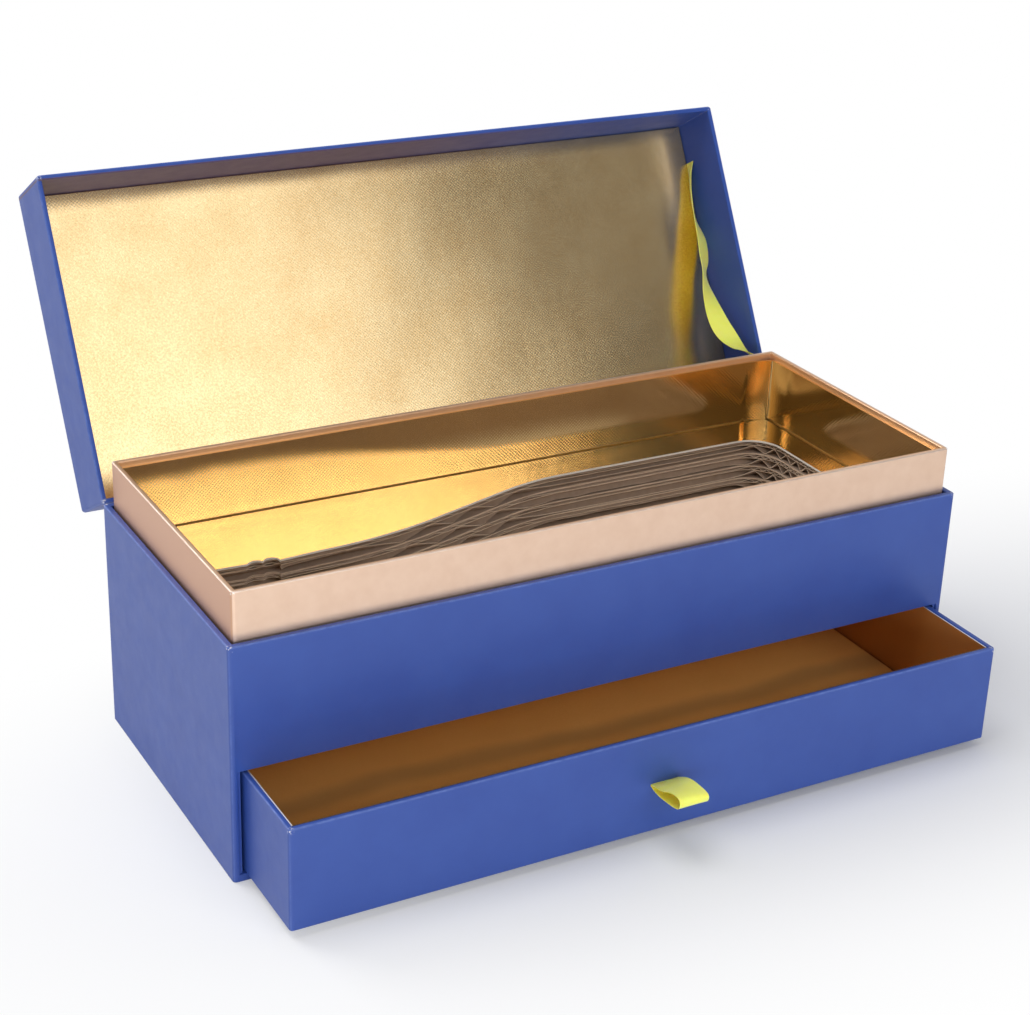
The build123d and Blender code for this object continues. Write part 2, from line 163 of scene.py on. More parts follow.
def add_stock(piece, thickness, offset, **settings):
    """Add a sheet's thickness as a modifier: offset -1 keeps its face in place, 0 its middle."""
    stock = piece.modifiers.new("Stock", "SOLIDIFY")
    stock.thickness = thickness * mm
    stock.offset = offset
    for name, value in settings.items():
        setattr(stock, name, value)


def thicken(piece, thickness, edge_slot=0):
    """Give an open sheet its paper thickness, on the side that it covers."""
    add_stock(piece, thickness, -1, use_even_offset=True, material_offset_rim=edge_slot)
    apply_modifiers(piece)


def add_slots(piece, *materials):
    """Append material slots, filled or empty."""
    for material in materials:
        piece.data.materials.append(material)


def dress(piece, materials, body, slot, *nodes):
    """Paint a piece, tie it to its body and hide the nodes that it stands for."""
    while len(piece.data.materials) < len(materials):
        piece.data.materials.append(None)
    for index, material in enumerate(materials):
        piece.data.materials[index] = material
    if body:
        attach(piece, body)
    if nodes:
        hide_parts(*nodes)
    return piece


# Folded paper
def rounded_line(points, radius=fold_radius, steps=5, support=0.15):
    """A folded line with its folds rounded, and a support point on each side of a fold."""
    line = [np.array(points[0], float)]
    for before, here, after in zip(points, points[1:], points[2:]):
        here = np.array(here, float)
        back = np.array(before, float) - here
        ahead = np.array(after, float) - here
        back /= np.linalg.norm(back)
        ahead /= np.linalg.norm(ahead)
        middle = here + (back + ahead) * radius
        line.append(here + back * (radius + support))
        for step in range(steps + 1):
            turn = pi / 2 * step / steps
            line.append(middle - ahead * radius * cos(turn) - back * radius * sin(turn))
        line.append(here + ahead * (radius + support))
    line.append(np.array(points[-1], float))
    return line


def corner_ring(half, inset, steps=5, support=0.3):
    """Plan of a rounded rectangle set in by the inset, counter-clockwise."""
    radius = max(corner_radius - inset, smallest_radius)
    ring = []
    for sign_x, sign_y, start in plan_corners:
        middle = np.array((sign_x * (half[0] - inset - radius), sign_y * (half[1] - inset - radius)))
        first = radians(start)
        last = radians(start + 90)
        before = support * np.array((sin(first), -cos(first)))
        after = support * np.array((-sin(last), cos(last)))
        ring.append(middle + radius * np.array((cos(first), sin(first))) + before)
        for step in range(steps + 1):
            turn = first + (last - first) * step / steps
            ring.append(middle + radius * np.array((cos(turn), sin(turn))))
        ring.append(middle + radius * np.array((cos(last), sin(last))) + after)
    return ring


def folded_skin(name, half, line, place, capped=False, downwards=False):
    """A paper that follows a folded line all the way round a tray."""
    points = []
    faces = []
    rings = [corner_ring(half, inset) for inset, height in line]
    count = len(rings[0])
    for ring, (inset, height) in zip(rings, line):
        points += [(x, y, height) for x, y in ring]
    for level in range(len(rings) - 1):
        low = level * count
        high = low + count
        for index in range(count):
            after = (index + 1) % count
            face = (low + index, low + after, high + after, high + index)
            faces.append(face[::-1] if downwards else face)
    if capped:
        cap = tuple(range(count))
        faces.append(cap if downwards else cap[::-1])
    return new_object(name, points, faces, place)


def cut_opening(piece, inside, left, right, low, high, reach=40):
    """Cut the faces near an opening along its four sides and delete those that lie inside it."""
    planes = [((side, 0, 0), (1, 0, 0)) for side in (left, right)]
    planes += [((0, 0, side), (0, 0, 1)) for side in (low, high)]
    mesh = bmesh.new()
    mesh.from_mesh(piece.data)
    for point, normal in planes:
        near = [face for face in mesh.faces if inside(face.calc_center_median() / mm, reach)]
        geometry = list({item for face in near for item in (*face.verts, *face.edges)}) + near
        bmesh.ops.bisect_plane(
            mesh, geom=geometry, dist=1e-7, plane_co=Vector(point) * mm, plane_no=normal
        )
    hole = [face for face in mesh.faces if inside(face.calc_center_median() / mm, 0)]
    bmesh.ops.delete(mesh, geom=hole, context="FACES")
    mesh.to_mesh(piece.data)
    mesh.free()


def add_flap(piece, on_edge, reach, radius):
    """Turn the paper in over the opening's edges that the test picks, with a rounded fold."""
    mesh = bmesh.new()
    mesh.from_mesh(piece.data)
    edges = [
        edge for edge in mesh.edges
        if edge.is_boundary and all(on_edge(vertex.co / mm) for vertex in edge.verts)
    ]
    made = bmesh.ops.extrude_edge_only(mesh, edges=edges)["geom"]
    moved = [item for item in made if isinstance(item, bmesh.types.BMVert)]
    bmesh.ops.translate(mesh, verts=moved, vec=(0, reach * mm, 0))
    bmesh.ops.bevel(
        mesh, geom=edges, offset=radius * mm, segments=4, profile=0.5, affect="EDGES"
    )
    mesh.to_mesh(piece.data)
    mesh.free()


def walled_line(foot, rim, wall):
    """Fold line of a wall's outer face, its rim and the paper turned in behind it."""
    return rounded_line([(0, foot), (0, rim), (wall, rim), (wall, rim - turn_in)])


def as_paper(piece):
    """Give a skin its paper thickness and smooth folds."""
    thicken(piece, paper)
    smooth(piece)
    return piece


def case_paper():
    """Blue paper of the case: walls, rim, turned-in edges and the drawer's opening."""
    line = walled_line(paper, case_rim, case_wall)
    piece = folded_skin("case_paper", case_half, line, upright)
    front = -case_half[1]
    close = 0.01

    def in_opening(point, margin):
        level = bay_floor - margin < point.z < bay_head + margin
        return point.y < front + 1 and level and abs(point.x) < bay_half + margin

    def on_apron(point):
        return point.y < front + 0.1 and abs(point.z - bay_head) < close

    def on_jambs_or_sill(point):
        return point.y < front + 0.1 and in_opening(point, close)

    cut_opening(piece, in_opening, -bay_half, bay_half, bay_floor, bay_head)
    add_flap(piece, on_apron, apron_flap, flap_fold)
    add_flap(piece, on_jambs_or_sill, turn_in, flap_fold)
    return as_paper(piece)


def collar_paper():
    """Rose-gold paper of the collar, folded over its rim."""
    line = walled_line(collar_foot, collar_rim, collar_wall)
    return as_paper(folded_skin("collar_paper", collar_half, line, collar_frame))


def lid_paper():
    """Blue paper of the lid: its top, walls, lip and inner walls."""
    line = rounded_line([
        (cap_inset, lid_height), (0, lid_height), (0, lid_lip), (lid_wall, lid_lip),
        (lid_wall, lid_ceiling),
    ])
    return as_paper(
        folded_skin("lid_paper", lid_half, line, lid_frame, capped=True, downwards=True)
    )


def drawer_paper():
    """Blue paper of the drawer, with the slit that its pull comes through."""
    line = rounded_line([
        (cap_inset, 0), (0, 0), (0, drawer_height), (drawer_wall, drawer_height),
        (drawer_wall, drawer_height - turn_in),
    ])
    piece = folded_skin("drawer_paper", drawer_half, line, drawer_frame, capped=True)

    def in_slit(point, margin):
        near_x = slit_left - margin < point.x < slit_right + margin
        near_z = slit_floor - margin < point.z < slit_head + margin
        return point.y < drawer_front + 0.1 and near_x and near_z

    cut_opening(piece, in_slit, slit_left, slit_right, slit_floor, slit_head)
    return as_paper(piece)


# Bottle's outline
def arc_points(middle, radius, first, last, steps):
    """Points of an arc between two angles in degrees."""
    turns = [radians(first + (last - first) * step / steps) for step in range(steps + 1)]
    return [(middle[0] + radius * cos(turn), middle[1] + radius * sin(turn)) for turn in turns]


def tangent_arc(start, end, way, steps):
    """Points of the arc that leaves the start along a direction and ends at the end."""
    start = np.array(start, float)
    chord = np.array(end, float) - start
    way = np.array(way, float) / np.linalg.norm(way)
    normal = np.array((-way[1], way[0]))
    middle = start + normal * (chord @ chord) / (2 * (chord @ normal))
    from_middle = start - middle
    to_middle = np.array(end, float) - middle
    turn = np.arctan2(
        from_middle[0] * to_middle[1] - from_middle[1] * to_middle[0], from_middle @ to_middle
    )
    points = []
    for step in range(steps + 1):
        angle = turn * step / steps
        points.append((
            middle[0] + from_middle[0] * cos(angle) - from_middle[1] * sin(angle),
            middle[1] + from_middle[0] * sin(angle) + from_middle[1] * cos(angle),
        ))
    return points


def bottle_side():
    """Half of the bottle's outline: base, body, shoulder, taper, neck with two rings, stopper."""
    side = [(157.2, 0.0), (157.2, 10.0), (157.2, 20.0)]
    side += arc_points((141.2, 30.6), 16, 0, 90, 10)
    side += [(120, 46.6), (100, 46.6), (80, 46.6), (60, 46.6)]
    side += tangent_arc((40, 46.6), (5, 41), (-1, 0), 6)
    taper_way = (-43.0, -13.8)
    side += [(-16.5, 34.1)]
    side += tangent_arc((-38, 27.2), (-100, 17.2), taper_way, 10)
    side += [(-110, 16.4), (-120.3, 15.6)]
    ring_width = 7.2
    for near in (-120.3, -120.3 - ring_width):
        side += tangent_arc((near, 17.3), (near - ring_width, 17.3), (-0.492, 0.87), 6)
    side += [(-145, 18), (-156, 18.4)]
    side += arc_points((-156, 12.4), 6, 90, 180, 5)
    side += [(-162, 6.0), (-162.0, 0.0)]
    return side


def bottle_outline(spacing=2.0):
    """The whole outline with evenly spaced points, counter-clockwise."""
    side = bottle_side()
    corners = np.array(side + [(x, -y) for x, y in reversed(side[1:-1])])
    closed = np.vstack([corners, corners[:1]])
    lengths = np.linalg.norm(np.diff(closed, axis=0), axis=1)
    along = np.concatenate([[0], np.cumsum(lengths)])
    count = int(along[-1] / spacing)
    places = np.linspace(0, along[-1], count, endpoint=False)
    return np.column_stack([np.interp(places, along, closed[:, axis]) for axis in (0, 1)])


def grown(outline, amounts):
    """An outline moved outwards by an amount at each point."""
    ways = np.roll(outline, -1, axis=0) - np.roll(outline, 1, axis=0)
    ways /= np.linalg.norm(ways, axis=1)[:, None]
    return outline + np.column_stack([ways[:, 1], -ways[:, 0]]) * np.asarray(amounts)[:, None]


def holed_sheet(outline):
    """A flat sheet of the insert's size with the outline cut out of it, as a bmesh in millimetres."""
    sheet = bmesh.new()
    side, deep = insert_half
    frame_corners = [
        (-side, collar_middle - deep), (side, collar_middle - deep),
        (side, collar_middle + deep), (-side, collar_middle + deep),
    ]
    for loop in (frame_corners, outline):
        corners = [sheet.verts.new((x, y, 0)) for x, y in loop]
        for here, after in zip(corners, corners[1:] + corners[:1]):
            sheet.edges.new((here, after))
    bmesh.ops.triangle_fill(sheet, edges=sheet.edges[:], use_beauty=True, normal=(0, 0, 1))
    return sheet


def sheet_mesh(name, sheet):
    """An object from a bmesh in millimetres."""
    bmesh.ops.scale(sheet, vec=(mm, mm, mm), verts=sheet.verts)
    mesh = bpy.data.meshes.new(name)
    sheet.to_mesh(mesh)
    sheet.free()
    return linked(name, mesh)


def insert_card_piece():
    """Foil card with the bottle cut out of it and a white raw edge."""
    sheet = holed_sheet(bottle_outline(1.5))
    bmesh.ops.dissolve_limit(sheet, angle_limit=0.001, verts=sheet.verts[:], edges=sheet.edges[:])
    bmesh.ops.triangulate(sheet, faces=sheet.faces[:])
    bmesh.ops.translate(sheet, verts=sheet.verts, vec=(0, 0, insert_top))
    piece = sheet_mesh("insert_card_face", sheet)
    add_slots(piece, None, None)
    thicken(piece, insert_card, edge_slot=1)
    return piece


# Corrugated bed
def fluting_tree():
    """Node tree that lifts a flat sheet into flutes that run along the box."""
    tree = bpy.data.node_groups.new("Fluting", "GeometryNodeTree")
    tree.interface.new_socket("Geometry", in_out="INPUT", socket_type="NodeSocketGeometry")
    for name in ("Pitch", "Height", "Base", "Phase"):
        tree.interface.new_socket(name, in_out="INPUT", socket_type="NodeSocketFloat")
    tree.interface.new_socket("Paper", in_out="INPUT", socket_type="NodeSocketMaterial")
    tree.interface.new_socket("Geometry", in_out="OUTPUT", socket_type="NodeSocketGeometry")
    nodes = Nodes(tree)
    given = nodes.node("NodeGroupInput").outputs
    parts = nodes.split(nodes.node("GeometryNodeInputPosition").outputs["Position"])
    # Straight flanks with rounded crests: the arcsine of a sine that stays short of 1
    crest = 0.93
    crest_to_half = 0.418
    turns = nodes.math("DIVIDE", nodes.math("ADD", parts["Y"], given["Phase"]), given["Pitch"])
    wave = nodes.math("SINE", nodes.math("MULTIPLY", turns, 2 * pi))
    ridge = nodes.math("ARCSINE", nodes.math("MULTIPLY", wave, crest))
    share = nodes.math("MULTIPLY_ADD", ridge, crest_to_half, 0.5)
    height = nodes.math("MULTIPLY_ADD", share, given["Height"], given["Base"])
    raised = nodes.node("ShaderNodeCombineXYZ", {"X": parts["X"], "Y": parts["Y"], "Z": height})
    lifted = nodes.node(
        "GeometryNodeSetPosition",
        {"Geometry": given["Geometry"], "Position": raised.outputs["Vector"]},
    ).outputs["Geometry"]
    real = nodes.node("GeometryNodeRealizeInstances", {"Geometry": lifted}).outputs["Geometry"]
    painted = nodes.node(
        "GeometryNodeSetMaterial", {"Geometry": real, "Material": given["Paper"]}
    ).outputs["Geometry"]
    nodes.node("NodeGroupOutput", {"Geometry": painted})
    return tree


def set_inputs(modifier, **values):
    """Give a node tree's modifier its named inputs."""
    for item in modifier.node_group.interface.items_tree:
        if item.in_out == "INPUT" and item.name in values:
            modifier[item.identifier] = values[item.name]


def fluted_sheet(name, tree, outline, pitch, height, base, phase, stock, material):
    """One fluted paper, cut to the bottle."""
    sheet = holed_sheet(outline)
    cuts_per_flute = 8
    step = pitch / cuts_per_flute
    line = collar_middle - insert_half[1] + step
    uncut = sheet.faces[:]
    while line < collar_middle + insert_half[1] - 0.05:
        near = list({item for face in uncut for item in (*face.verts, *face.edges)}) + uncut
        cut = bmesh.ops.bisect_plane(
            sheet, geom=near, dist=1e-5, plane_co=(0, line, 0), plane_no=(0, 1, 0)
        )
        uncut = [
            item for item in cut["geom"]
            if isinstance(item, bmesh.types.BMFace) and item.calc_center_median().y > line
        ]
        line += step
    inner = [
        edge for edge in sheet.edges
        if len(edge.link_faces) == 2 and abs(edge.verts[0].co.y - edge.verts[1].co.y) > 1e-4
    ]
    bmesh.ops.dissolve_edges(sheet, edges=inner, use_verts=False)
    piece = sheet_mesh(name, sheet)
    lift = piece.modifiers.new("Fluting", "NODES")
    lift.node_group = tree
    set_inputs(
        lift, Pitch=pitch * mm, Height=(height - stock) * mm, Base=(base + stock / 2) * mm,
        Phase=phase * mm, Paper=material,
    )
    add_stock(piece, stock, 0, material_offset_rim=1)
    add_slots(piece, material, None)
    return piece


def joined(name, pieces):
    """Several pieces as one mesh object, with their modifiers applied."""
    for piece in pieces:
        apply_modifiers(piece)
    whole = bmesh.new()
    for piece in pieces:
        whole.from_mesh(piece.data)
        bpy.data.objects.remove(piece)
    mesh = bpy.data.meshes.new(name)
    whole.to_mesh(mesh)
    whole.free()
    return linked(name, mesh)


def cut_line(chance, count, offset):
    """How far a paper's cut edge strays from the bottle's outline at each of its points."""
    along = np.linspace(0, 2 * pi, count, endpoint=False)
    return offset + sum(
        chance.uniform(0.02, 0.15) * np.sin(along * waves + chance.uniform(0, 2 * pi))
        for waves in (3, 7, 13, 24, 41)
    )


def corrugated_bed(paper_material, edge_material):
    """Six double-wall boards, each with its papers cut a little differently."""
    tree = fluting_tree()
    chance = np.random.default_rng(7)
    outline = bottle_outline(2.5)
    for board in range(bed_boards):
        foot = bed_foot + board * board_height
        cut = outline + chance.uniform(-0.3, 0.3, 2)

        def strayed(low, high):
            return grown(cut, cut_line(chance, len(cut), chance.uniform(low, high)))

        large = fluted_sheet(
            "large", tree, strayed(0.7, 1.2), large_pitch, large_height,
            foot + liner_paper, chance.uniform(0, 10), large_paper, paper_material,
        )
        small = fluted_sheet(
            "small", tree, strayed(0.3, 0.6), small_pitch, small_height,
            foot + 2 * liner_paper + large_height, chance.uniform(0, 3), small_paper, paper_material,
        )
        flutes = joined(f"bed_fluting_{board + 1}", [large, small])
        flats = []
        for level in (0, liner_paper + large_height, board_height - liner_paper):
            flat = holed_sheet(strayed(0.35, 0.9))
            bmesh.ops.translate(flat, verts=flat.verts, vec=(0, 0, foot + level + liner_paper))
            piece = sheet_mesh("flat", flat)
            add_slots(piece, None, None)
            add_stock(piece, liner_paper, -1, material_offset_rim=1)
            flats.append(piece)
        papers = joined(f"bed_papers_{board + 1}", flats)
        for piece, node in ((flutes, f"bed_flutes_{board + 1}"), (papers, f"bed_liners_{board + 1}")):
            smooth(piece, 30)
            dress(piece, [paper_material, edge_material], "case", "corrugated", node)


def lining_ring(inset, radius, bulge):
    """Plan of the well's lining; the back wall's right end may bulge forward."""
    half = (collar_half[0] - collar_wall, collar_half[1] - collar_wall)
    bowed = 16.0
    support = 0.3
    ring = []
    for sign_x, sign_y, start in plan_corners:
        middle = (sign_x * (half[0] - inset - radius), sign_y * (half[1] - inset - radius))
        arc = arc_points(middle, radius, start, start + 90, 6)
        turn = radians(start)
        ring.append((arc[0][0] + support * sin(turn), arc[0][1] - support * cos(turn)))
        ring += arc
        ring.append((arc[-1][0] - support * cos(turn), arc[-1][1] - support * sin(turn)))
        if start == 0:
            ring += [(middle[0] - step, half[1] - inset) for step in np.linspace(1, bowed, 16)]
    line = half[0] - inset - bowed
    return [(x, y - bulge * max(x - line, 0) ** 2 / bowed**2 if y > 0 else y) for x, y in ring]


def well_lining():
    """Foil card bent round the inside of the collar; it bows in one corner above the insert."""
    card = 1.2
    bend = 0.8
    bow = 2.9
    top = collar_rim - 2.8
    levels = ((bed_foot, 0), (insert_top + 0.02, 0), (insert_top + 0.1, bow), (top, bow))
    rings = [
        [(x, y, z) for x, y in lining_ring(inset, radius, bulge)]
        for inset, radius in ((card, bend), (0, bend + card)) for z, bulge in levels
    ]
    points = [point for ring in rings for point in ring]
    count = len(rings[0])
    inner = [count * index for index in range(len(levels))]
    outer = [count * (index + len(levels)) for index in range(len(levels))]
    faces = []
    for index in range(count):
        after = (index + 1) % count
        for low, high in zip(inner, inner[1:]):
            faces.append((low + after, low + index, high + index, high + after))
        for low, high in zip(outer, outer[1:]):
            faces.append((low + index, low + after, high + after, high + index))
        faces.append((inner[-1] + after, inner[-1] + index, outer[-1] + index, outer[-1] + after))
        faces.append((inner[0] + index, inner[0] + after, outer[0] + after, outer[0] + index))
    piece = new_object("well_lining", points, faces, collar_frame)
    add_slots(piece, None, None)
    for face in piece.data.polygons:
        face.material_index = int(abs(face.normal.x) > abs(face.normal.y))
    smooth(piece)
    return piece


# Pads
def uneven_steps(half):
    """Places across a pad, closer together near its edges."""
    near = [0, 0.15, 0.35, 0.6, 0.9, 1.3, 1.8, 2.5, 4, 7]
    even_from = 12
    spacing = 4
    inner = np.linspace(-half + even_from, half - even_from, int(half / spacing))
    return np.array([-half + n for n in near] + list(inner) + [half - n for n in reversed(near)])


def pad(name, half, middle, foot, face, place, radius=1.2, lift=0):
    """A thin foam pad under foil: flat foot, soft edges, a faintly uneven face and a lifted corner."""
    dip = 0.15
    dip_run = 10
    lift_across = 34
    lift_from = 8
    lift_deep = 40
    rise = 1 if face > foot else -1
    grid_x, grid_y = np.meshgrid(uneven_steps(half[0]), uneven_steps(half[1]))
    edge = np.minimum(half[0] - abs(grid_x), half[1] - abs(grid_y))
    inside = np.clip(edge, 0, radius)
    drop = radius - np.sqrt(np.maximum(radius**2 - (radius - inside) ** 2, 0))
    sway = 0.1 * np.sin(grid_x / 31 + 1) * np.sin(grid_y / 23) + 0.05 * np.sin(grid_x / 12 + grid_y / 17)
    height = face - rise * (drop + (dip + sway) * np.clip(edge / dip_run, 0, 1))
    reach_x = np.clip((grid_x - half[0] + lift_across) / lift_across, 0, 1)
    reach_y = np.clip((-grid_y - lift_from) / lift_deep, 0, 1)
    height += rise * lift * reach_x**2 * reach_y**2 * (3 - 2 * reach_y)
    rows, columns = grid_x.shape
    points = list(zip((grid_x + middle[0]).ravel(), (grid_y + middle[1]).ravel(), height.ravel()))
    faces = []
    for row in range(rows - 1):
        for column in range(columns - 1):
            here = row * columns + column
            face_corners = (here, here + 1, here + columns + 1, here + columns)
            faces.append(face_corners if rise > 0 else face_corners[::-1])
    around = list(range(columns)) + [row * columns + columns - 1 for row in range(1, rows)]
    around += [(rows - 1) * columns + column for column in range(columns - 2, -1, -1)]
    around += [row * columns for row in range(rows - 2, 0, -1)]
    first = len(points)
    points += [(points[index][0], points[index][1], foot) for index in around]
    count = len(around)
    for index in range(count):
        after = (index + 1) % count
        side = (around[index], first + index, first + after, around[after])
        faces.append(side if rise > 0 else side[::-1])
    base = tuple(range(first, first + count))
    faces.append(base[::-1] if rise > 0 else base)
    piece = new_object(name, points, faces, place)
    smooth(piece, 60)
    return piece


# Ribbons
ribbon_thickness = 0.3


def smooth_path(points, steps):
    """A Catmull-Rom path through rows of numbers."""
    rows = np.array(points, float)
    rows = np.vstack([2 * rows[0] - rows[1], rows, 2 * rows[-1] - rows[-2]])
    path = []
    for index in range(1, len(rows) - 2):
        before, here, after, beyond = rows[index - 1:index + 3]
        for step in range(steps):
            t = step / steps
            path.append(0.5 * (
                2 * here + (after - before) * t + (2 * before - 5 * here + 4 * after - beyond) * t**2
                + (3 * here - before - 3 * after + beyond) * t**3
            ))
    path.append(rows[-2])
    return np.array(path)


def ribbon(name, left, right, thickness, across=6):
    """A ribbon between two edge lines; its second side may take a second material."""
    points = []
    faces = []
    for near, far in zip(left, right):
        for step in range(across + 1):
            points.append(near + (far - near) * step / across)
    for row in range(len(left) - 1):
        for step in range(across):
            here = row * (across + 1) + step
            faces.append((here, here + 1, here + across + 2, here + across + 1))
    piece = new_object(name, points, faces)
    layer = piece.data.uv_layers.new(name="Ribbon")
    lengths = np.linalg.norm(np.diff((left + right) / 2, axis=0), axis=1)
    along = np.concatenate([[0], np.cumsum(lengths)])
    width = np.linalg.norm(right[0] - left[0])
    for loop in piece.data.loops:
        row, step = divmod(loop.vertex_index, across + 1)
        layer.data[loop.index].uv = (step / across * width * mm, along[row] * mm)
    add_stock(piece, thickness, 0, material_offset=1)
    add_slots(piece, None, None)
    apply_modifiers(piece)
    smooth(piece, 50)
    return piece


# Stay: place of its middle line and the twist of its width, from the lid down to its foot
stay_stations = [
    (177.6, 161.7, 206.2, -90), (176.9, 158.6, 200.4, -72), (175.4, 153.9, 191.3, -66),
    (174.1, 146.6, 181.5, -56), (173.3, 137.8, 172.5, -38), (170.8, 130.5, 164.0, -38),
    (168.4, 125.3, 156.6, -52), (166.4, 115.9, 146.8, -24), (166.0, 106.8, 137.8, 3),
    (166.5, 98.8, 132.2, 9), (168.4, 89.4, 127.5, -19), (171.0, 83.0, 125.6, -50),
    (175.5, 79.6, 121.9, -80), (176.9, 75.5, 118.3, -90), (176.8, 64.8, 110.5, -90),
    (176.8, 64.8, 98.0, -90),
]


def stay_ribbon():
    """Slack stay between the lid's right wall and the gap beside the collar."""
    half_width = 5.5
    path = smooth_path(stay_stations, 10)
    places = path[:, :3]
    twists = np.radians(path[:, 3])
    ways = np.gradient(places, axis=0)
    ways /= np.linalg.norm(ways, axis=1)[:, None]
    outward = np.array((0, -0.703, 0.711))
    width = np.cos(twists)[:, None] * np.array((1.0, 0, 0)) + np.sin(twists)[:, None] * outward
    width -= ways * (width * ways).sum(axis=1)[:, None]
    width *= half_width / np.linalg.norm(width, axis=1)[:, None]
    return ribbon("stay_ribbon", places - width, places + width, ribbon_thickness)


# Pull: how far its left and right edges stand out from the drawer's front, and how far above its slit
pull_top_tail = [(-2.55, 11.8), (-2.55, 1.0), (-2.1, 0.25), (0, 0.25)]
pull_low_tail = [(0, -0.25), (-2.1, -0.25), (-2.55, -1.0), (-2.55, -11.8)]
pull_near = pull_top_tail + [
    (4, 0.9), (8.9, 1.9), (13, 3.8), (17.1, 5.1), (20.2, 5.3), (22.0, 4.7), (22.7, 2.8),
    (21.9, 0.8), (19.5, -0.3), (15.5, -1.0), (7.7, -1.6), (3, -1.2),
] + pull_low_tail
pull_far = pull_top_tail + [
    (3.2, 1.9), (6.6, 3.4), (11, 4.4), (15.8, 4.6), (19.8, 4.5), (22.0, 4.0), (22.7, 2.8),
    (22.1, 1.2), (20.7, 0.2), (15.5, -0.8), (7.7, -1.5), (3, -1.1),
] + pull_low_tail


def pull_ribbon():
    """Loop of ribbon through the drawer's front, its tails glued behind the board."""
    edges = []
    for side, profile in ((-9.55, pull_near), (4.75, pull_far)):
        path = smooth_path(profile, 6)
        edges.append(np.array([(side, drawer_front - out, pull_height + up) for out, up in path]))
    return ribbon("pull_ribbon", edges[0], edges[1], ribbon_thickness)


def hinge_paper():
    """Paper strip that joins the lid's back wall to the case."""
    half_length = 171.1
    line = [
        (88.2, 104.05), (82.3, 107.35), (76.4, 110.6), (74.6, 110.2), (72.5, 109.1), (72.0, 108.2),
        (72.0, 101),
    ]
    path = smooth_path(line, 4)
    left = np.array([(-half_length, y, z) for y, z in path])
    right = np.array([(half_length, y, z) for y, z in path])
    return ribbon("hinge_paper", right, left, paper, across=1)


# Materials
# In metres: pitches of the foil's embossing and the ribbon's weave, and where the drawer's foil ends
weave_pitch = 0.00175
rib_pitch = 0.00045
thread_pitch = 0.0003
lining_top = 0.05035


def linear(red, green, blue):
    """A screen colour from 0 to 255 as the linear colour that shaders use."""
    shares = [value / 255 for value in (red, green, blue)]
    return tuple(v / 12.92 if v <= 0.04045 else ((v + 0.055) / 1.055) ** 2.4 for v in shares) + (1.0,)


class Nodes:
    """A node tree and short ways to add nodes to it."""

    def __init__(self, tree):
        self.tree = tree

    def give(self, socket, value):
        """Link another node's socket to a socket, or set its value."""
        if isinstance(value, bpy.types.NodeSocket):
            self.tree.links.new(value, socket)
        else:
            socket.default_value = value

    def node(self, kind, inputs=(), **settings):
        """Add a node, with its settings and its inputs given as values or as sockets."""
        made = self.tree.nodes.new(kind)
        for name, value in settings.items():
            setattr(made, name, value)
        for name, value in dict(inputs).items():
            self.give(made.inputs[name], value)
        return made

    def math(self, operation, *values):
        """A Math node's value."""
        return self.node("ShaderNodeMath", enumerate(values), operation=operation).outputs["Value"]

    def split(self, place):
        """A place's X, Y and Z."""
        return self.node("ShaderNodeSeparateXYZ", {"Vector": place}).outputs

    def measure(self, operation, *vectors):
        """A Vector Math node's number."""
        made = self.node("ShaderNodeVectorMath", enumerate(vectors), operation=operation)
        return made.outputs["Value"]

    def ramp(self, value, low, high, first=0.0, last=1.0, **settings):
        """A value from low to high, mapped to the range from first to last."""
        limits = {"From Min": low, "From Max": high, "To Min": first, "To Max": last}
        return self.node("ShaderNodeMapRange", {"Value": value, **limits}, **settings).outputs["Result"]


class Finish(Nodes):
    """A material and the nodes that it needs most."""

    def __init__(self, name):
        self.material = bpy.data.materials.new(name)
        self.material.use_nodes = True
        super().__init__(self.material.node_tree)
        self.shader = self.tree.nodes["Principled BSDF"]

    def set(self, **values):
        """Set or link the main shader's inputs, with underscores for spaces."""
        for name, value in values.items():
            self.give(self.shader.inputs[name.replace("_", " ")], value)

    def place(self):
        """Object coordinates."""
        return self.node("ShaderNodeTexCoord").outputs["Object"]

    def moved(self, place, move=(0, 0, 0), turn=(0, 0, 0), scale=(1, 1, 1)):
        """A place scaled, turned and moved."""
        made = self.node(
            "ShaderNodeMapping", {"Vector": place, "Location": move, "Rotation": turn, "Scale": scale}
        )
        return made.outputs["Vector"]

    def noise(self, place, scale, detail=2.0, roughness=0.5):
        """Noise at a scale, from 0 to 1."""
        made = self.node(
            "ShaderNodeTexNoise",
            {"Vector": place, "Scale": scale, "Detail": detail, "Roughness": roughness},
        )
        return made.outputs["Fac"]

    def mix(self, share, first, second):
        """A mix of two colours."""
        inputs = {0: share, 6: first, 7: second}
        return self.node("ShaderNodeMix", inputs, data_type="RGBA").outputs[2]

    def bump(self, height, distance, **before):
        """The normal over a height, which may follow on another bump's normal."""
        inputs = {"Height": height, "Distance": distance, **before}
        return self.node("ShaderNodeBump", inputs).outputs["Normal"]


def wall_distances(look, parts, half):
    """Distances in metres to the outer faces of a tray's end walls and long walls."""
    across = look.math("SUBTRACT", half[0] * mm, look.math("ABSOLUTE", parts["X"]))
    deep = look.math("SUBTRACT", half[1] * mm, look.math("ABSOLUTE", parts["Y"]))
    return across, deep


